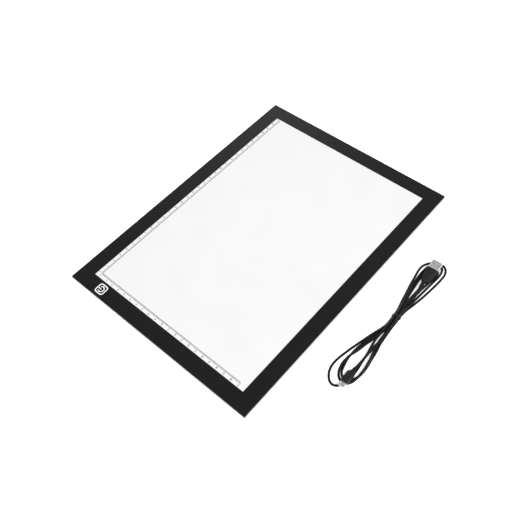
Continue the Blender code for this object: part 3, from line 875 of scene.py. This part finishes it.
def add_usb_a(materials):
    """The USB-A plug: ribbed strain relief, grip with finger grooves, and folded steel shell."""
    place = plug_place(USB_A_ROOT, USB_A_HEADING, 0)
    rows = strain_relief(USB_A_REAR, -19.4, 3.4, 4.6, ribs=5, depth=0.38)
    rows += [
        (-19.4, 4.8, 4.6, 2.2),
        (-19.0, 5.4, 4.8, 2.2),
        (-18.7, 6.4, 5.4, 2.2),
        (-18.3, 7.4, 6.0, 2.0),
        (-17.8, 8.1, 6.4, 1.8),
        (-17.1, 8.6, 6.7, 1.6),
        (-16.2, 8.9, 6.85, 1.5),
        (-15.5, 9.1, 6.9, 1.5),
        (-9.5, 10.9, 6.9, 1.5),
        (-2.5, 12.6, 6.9, 1.5),
        (-1.0, 12.85, 6.9, 1.5),
        (-0.4, 12.85, 6.75, 1.45),
        (-0.1, 12.75, 6.45, 1.35),
        (0.0, 12.6, 6.0, 1.2),
        (0.0, 12.5, 5.1, 0.55),
        (-0.15, 12.35, 4.95, 0.5),
        (-1.15, 12.35, 4.95, 0.5),
    ]
    rows = grooved(rows, -15.5, -2.5, count=5, depth=0.45, width=0.75)
    grip = add_overmould("usb_a_grip", rows, place, materials["overmould_pvc"], "usb_a_overmould")
    shell = add_steel_shell(
        "usb_a_steel", place, materials, "usb_a_shell",
        rounded_rectangle(12.0 * MM, 4.5 * MM, 0.55 * MM),
        rounded_rectangle(11.4 * MM, 3.9 * MM, 0.28 * MM),
        11.75,
    )
    # Two windows through its broad faces, and the seam where it is folded together
    rows = [(z * MM, 2.3 * MM, 2.5 * MM, 0.25 * MM) for z in (-4.0, 4.0)]
    for y in (-2.9, 2.9):
        bm = bmesh.new()
        loft(bm, level_loops(rows, (6.3 * MM, y * MM), 3), place=place)
        cut(shell, add_bmesh("window", bm, None))
    bm = bmesh.new()
    outline = rounded_rectangle(0.12 * MM, 1.2 * MM, 0.03 * MM, 2)
    loft(bm, [[(x * MM, u, v - 2.4 * MM) for u, v in outline] for x in (-0.7, 11.7)], place=place)
    cut(shell, add_bmesh("seam", bm, None))
    even_normals(shell)
    return grip, shell


def add_steel_shell(name, place, materials, node, outer, inner, reach):
    """A shell open at its nose, with a rounded lip, reaching that many mm out of its overmould."""
    loops = []
    for x, outline, grow in (
        (SHELL_START, outer, 0.0), (reach - 0.12, outer, 0.0), (reach - 0.02, outer, -0.06),
        (reach, outer, -0.13), (reach, inner, 0.05), (reach - 0.15, inner, 0.0),
        (SHELL_START, inner, 0.0),
    ):
        size = 1 + grow / LIP_HALF_WIDTH
        loops.append([(x * MM, u * size, v + math.copysign(grow * MM, v)) for u, v in outline])
    bm = bmesh.new()
    loft(bm, loops, ring=True, place=place)
    shell = add_bmesh(name, bm, materials["plug_steel"], "cord", 30)
    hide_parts(node)
    return shell


def micro_outline(width, height, cut_size, corner):
    """A micro-USB shell's outline: rounded, with its two lower corners slanted."""
    half, top, low = width / 2, height / 2, -height / 2
    corners = [
        (half, top), (-half, top), (-half, low + cut_size), (cut_size - half, low),
        (half - cut_size, low), (half, low + cut_size),
    ]
    points = []
    for i, point in enumerate(corners):
        here = Vector(point)
        before = (Vector(corners[i - 1]) - here).normalized()
        after = (Vector(corners[(i + 1) % 6]) - here).normalized()
        start, end = here + before * corner, here + after * corner
        for t in (0.0, 1 / 3, 2 / 3, 1.0):
            rounded = start * (1 - t) ** 2 + here * (2 * t * (1 - t)) + end * t**2
            points.append((rounded.x, rounded.y))
    return points


def add_micro(materials):
    """The micro-USB plug, nose up on the crossing turns."""
    place = plug_place(MICRO_ROOT, MICRO_HEADING, MICRO_PITCH)
    rows = strain_relief(MICRO_REAR, -15.7, 3.4, 4.3, ribs=4, depth=0.36)
    rows += [
        (-15.7, 5.0, 4.3, 2.05),
        (-15.5, 6.0, 4.5, 2.1),
        (-14.6, 6.2, 4.6, 2.1),
        (-14.4, 5.4, 4.5, 2.1),
        (-13.9, 5.4, 4.5, 2.1),
        (-13.7, 7.6, 5.0, 2.0),
        (-13.4, 8.3, 5.3, 1.7),
        (-12.9, 8.5, 5.4, 1.5),
        (-3.0, 8.5, 5.4, 1.5),
        (-2.0, 8.45, 5.35, 1.5),
        (-1.0, 8.3, 5.05, 1.4),
        (-0.4, 8.1, 4.6, 1.3),
        (-0.05, 7.9, 4.25, 1.2),
        (0.0, 7.7, 3.8, 0.9),
        (0.0, 7.3, 2.3, 0.5),
        (-0.15, 7.2, 2.2, 0.45),
        (-1.15, 7.2, 2.2, 0.45),
    ]
    rows = grooved(rows, -12.9, -3.0, count=4, depth=0.35, width=0.6)
    grip = add_overmould(
        "micro_usb_grip", rows, place, materials["overmould_pvc"], "micro_usb_overmould"
    )
    shell = add_steel_shell(
        "micro_usb_steel", place, materials, "micro_usb_shell",
        micro_outline(6.85 * MM, 1.8 * MM, 0.7 * MM, 0.22 * MM),
        micro_outline(6.25 * MM, 1.24 * MM, 0.5 * MM, 0.12 * MM),
        5.4,
    )
    # The two latches that stand up through its upper face
    bm = bmesh.new()
    for y in (-1.9, 1.9):
        loops = []
        for x, height in ((1.6, 0.9), (2.6, 1.22), (3.1, 1.22), (3.3, 0.9)):
            outline = (
                (-0.4, 0.7), (0.4, 0.7), (0.4, height - 0.05), (0.3, height), (-0.3, height),
                (-0.4, height - 0.05),
            )
            loops.append([(x * MM, (y + u) * MM, v * MM) for u, v in outline])
        loft(bm, loops, place=place)
    latches = add_bmesh("micro_usb_latches", bm, materials["plug_steel"], "cord", 30)
    return grip, shell, latches


# ------------------------------------------------------------------------------- the face


def add_panel(materials):
    """The top panel: its clear body with broken edges, the printed border and the lit window."""
    low, high = (Vector(corner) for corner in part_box("top_panel"))
    length, width = (high - low).x, (high - low).y
    top = high.z
    face = top - PRINT_DEPTH

    def row(z, inset):
        return z, length - 2 * inset, width - 2 * inset, PANEL_CORNER - inset

    bm = bmesh.new()
    rows = [
        row(low.z, PANEL_EDGE),
        row(low.z + PANEL_EDGE_MIDDLE, PANEL_EDGE_MIDDLE),
        row(low.z + PANEL_EDGE, 0.0),
        row(top - PANEL_EDGE, 0.0),
        row(top - PANEL_EDGE_MIDDLE, PANEL_EDGE_MIDDLE),
        row(top, PANEL_EDGE),
        row(top, PRINT_INSET),
        row(face, PRINT_INSET),
    ]
    loft(bm, level_loops(rows))
    body = add_bmesh("panel_body", bm, materials["clear_acrylic"], "box")
    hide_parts("top_panel")

    inside = (length - 2 * BORDER, width - 2 * BORDER)
    bm = bmesh.new()
    rows = [
        row(face, PRINT_INSET),
        row(top, PRINT_INSET),
        (top, *inside, WINDOW_CORNER),
        (face, *inside, WINDOW_CORNER),
    ]
    loft(bm, level_loops(rows), ring=True)
    border = add_bmesh("border_print", bm, materials["black_print"], "box")

    bm = bmesh.new()
    loft(bm, level_loops([(z, *inside, WINDOW_CORNER) for z in (face, top)]))
    window = add_bmesh("lit_window", bm, materials["lit"], "box")
    return inside, top


def ruler_origin(inside):
    return RULER_LINE - inside[0] / 2, inside[1] / 2 - RULER_LINE


def add_ruler_marks(inside, top, materials):
    """Ticks each millimetre along two sides, with their base lines and the zero corner."""
    x0, y0 = ruler_origin(inside)
    z = (top - INK_HEIGHT, top + INK_HEIGHT)
    half = RULER_BASE / 2
    tick = RULER_TICK / 2
    bm = bmesh.new()
    x1, y1 = x0 + RULER_CORNER, y0 - RULER_CORNER
    add_bar(bm, (x1, x0 + RULER_LENGTH * MM + half), (y0 - half, y0 + half), z)
    add_bar(bm, (x0 - half, x0 + half), (y0 - RULER_WIDTH * MM - half, y1), z)
    arc = []
    for reach, turn in ((RULER_CORNER - half, 1), (RULER_CORNER + half, -1)):
        steps = [90 + 90 * step / 6 for step in range(7)][::turn]
        for angle in map(math.radians, steps):
            arc.append((x1 + reach * math.cos(angle), y1 + reach * math.sin(angle)))
    loft(bm, [[(x, y, height) for x, y in arc] for height in z])

    def tick_length(count):
        if count == 0:
            return ZERO_TICK
        if count % 10 == 0:
            return CENTIMETRE_TICK
        return HALF_TICK if count % 5 == 0 else MILLIMETRE_TICK

    for count in range(RULER_LENGTH + 1):
        x = x0 + count * MM
        add_bar(bm, (x - tick, x + tick), (y0 + half, y0 + tick_length(count)), z)
    for count in range(RULER_WIDTH + 1):
        y = y0 - count * MM
        add_bar(bm, (x0 - tick_length(count), x0 - half), (y - tick, y + tick), z)
    marks = add_bmesh("ruler_marks", bm, materials["ruler_ink"], "box")


def add_ruler_numbers(inside, top, materials):
    """The centimetre numbers, between the ticks and the border."""
    x0, y0 = ruler_origin(inside)
    places = []
    for count in range(10, RULER_LENGTH + 1, 10):
        places.append((count // 10, x0 + count * MM, inside[1] / 2 - NUMBER_INSET))
    for count in range(10, RULER_WIDTH + 1, 10):
        places.append((count // 10, NUMBER_INSET - inside[0] / 2, y0 - count * MM))
    bm = bmesh.new()
    for number, x, y in places:
        text = bpy.data.curves.new("number", "FONT")
        text.body = str(number)
        text.size = NUMBER_SIZE
        text.align_x = "CENTER"
        text.align_y = "CENTER"
        text.extrude = INK_HEIGHT
        text.offset = NUMBER_BOLD
        text.resolution_u = 3
        shown = bpy.data.objects.new("number", text)
        bpy.context.collection.objects.link(shown)
        view = bpy.context.evaluated_depsgraph_get()
        mesh = bpy.data.meshes.new_from_object(shown.evaluated_get(view))
        mesh.transform(Matrix.Translation((x, y, top)))
        bm.from_mesh(mesh)
        bpy.data.objects.remove(shown)
    bmesh.ops.remove_doubles(bm, verts=bm.verts, dist=0.001 * MM)
    numbers = add_bmesh("ruler_numbers", bm, materials["ruler_ink"], "box")


def add_touch_symbol(top, materials):
    """A power symbol in a rounded square, printed white on the border over the touch foil."""
    z = (top - INK_HEIGHT, top + INK_HEIGHT)
    x, y = KEY_CENTRE
    bm = bmesh.new()
    outer = (KEY_SIZE, KEY_SIZE, KEY_CORNER)
    inner = (KEY_SIZE - 2 * KEY_LINE, KEY_SIZE - 2 * KEY_LINE, KEY_CORNER - 0.75 * KEY_LINE)
    rows = [(z[0], *outer), (z[1], *outer), (z[1], *inner), (z[0], *inner)]
    loft(bm, level_loops(rows, KEY_CENTRE, 8), ring=True)
    sweep = 360 - 2 * ARC_OPENING
    angles = [90 + ARC_OPENING + sweep * i / ARC_STEPS for i in range(ARC_STEPS + 1)]
    arc = []
    for reach, turn in ((ARC_RADIUS - ARC_LINE / 2, 1), (ARC_RADIUS + ARC_LINE / 2, -1)):
        for angle in map(math.radians, angles[::turn]):
            arc.append((x + reach * math.cos(angle), y + ARC_RISE + reach * math.sin(angle)))
    loops = [[bm.verts.new((u, v, height)) for u, v in arc] for height in z]
    count = len(arc)
    for i in range(count):
        j = (i + 1) % count
        bm.faces.new((loops[0][i], loops[0][j], loops[1][j], loops[1][i]))
    for loop in loops:
        for i in range(ARC_STEPS):
            bm.faces.new((loop[i], loop[i + 1], loop[count - 2 - i], loop[count - 1 - i]))
    bar = [(height, ARC_LINE, BAR_LENGTH, 0.25 * MM) for height in z]
    loft(bm, level_loops(bar, (x, y + BAR_RISE), 3))
    add_bmesh("touch_symbol", bm, materials["white_print"], "box")


# -------------------------------------------------------------------------------- the set


def add_floor():
    """A plain pale floor, which isn't part of the object."""
    mesh = bpy.data.meshes.new("floor")
    corners = [
        (x * FLOOR_REACH, y * FLOOR_REACH, 0.0) for x, y in ((-1, -1), (1, -1), (1, 1), (-1, 1))
    ]
    mesh.from_pydata(corners, [], [(0, 1, 2, 3)])
    material = make_material("floor_paper", (grey(0.86), grey(0.88)), (0.75, 0.85), 6, 400, 0.01)
    tree = material.node_tree
    shader = tree.nodes["Principled BSDF"]
    glow = spread(tree, distance_out(tree), FLOOR_GLOW, FAR_FLOOR_GLOW, *FLOOR_SPREAD)
    shader.inputs["Emission Color"].default_value = (*WHITE, 1.0)
    tree.links.new(glow, shader.inputs["Emission Strength"])
    floor = add_object("floor", mesh, material)


def add_lamps():
    """The studio's two soft lamps."""
    for name, (place, size, power) in LAMPS.items():
        data = bpy.data.lights.new(name, "AREA")
        data.shape = "DISK"
        data.size = size
        data.energy = power
        lamp = bpy.data.objects.new(name, data)
        lamp.location = place
        lamp.rotation_euler = (-Vector(place)).to_track_quat("-Z", "Y").to_euler()
        bpy.context.collection.objects.link(lamp)


def add_world():
    """A soft white surround, seen as plain white.

    Its light is dimmer overhead, with one bright patch low in the far right.
    """
    world = bpy.data.worlds.new("studio")
    world.use_nodes = True
    tree = world.node_tree
    where = add_node(tree, "ShaderNodeTexCoord").outputs["Generated"]
    parts = add_node(tree, "ShaderNodeSeparateXYZ", Vector=where)
    up = spread(tree, parts.outputs["Z"], 0.0, 1.0, *SKY_SPREAD)
    colour = blend_colours(tree, up, HORIZON_LIGHT, OVERHEAD_LIGHT)
    toward = add_node(tree, "ShaderNodeVectorMath", {"operation": "DOT_PRODUCT"})
    tree.links.new(where, toward.inputs[0])
    toward.inputs[1].default_value = GLOW_DIRECTION
    patch = spread(tree, toward.outputs["Value"], 0.0, 1.0, *GLOW_SPREAD)
    colour = blend_colours(tree, patch, colour, GLOW_LIGHT)
    seen = add_node(tree, "ShaderNodeLightPath").outputs["Is Camera Ray"]
    colour = blend_colours(tree, seen, colour, WHITE)
    tree.links.new(colour, tree.nodes["Background"].inputs["Color"])
    bpy.context.scene.world = world


# ---------------------------------------------------------------------------------- build


add_camera()
materials = make_materials()

route = cord_route()
cord = add_cord(route, materials["cord_pvc"])
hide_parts("cord_hank", "usb_a_lead", "micro_usb_lead")
tie = add_tie(route, materials["tie_plastic"])
plug_pieces = [*add_usb_a(materials), *add_micro(materials)]

window_size, face_top = add_panel(materials)
add_ruler_marks(window_size, face_top, materials)
add_ruler_numbers(window_size, face_top, materials)
add_touch_symbol(face_top, materials)

for part in frame["record"]["subparts"]:
    node = frame["nodes"][part["node"]]
    node.data.materials[0] = materials[part["material_slot"]]

add_floor()
add_world()
add_lamps()
bpy.context.scene.view_settings.view_transform = "Standard"
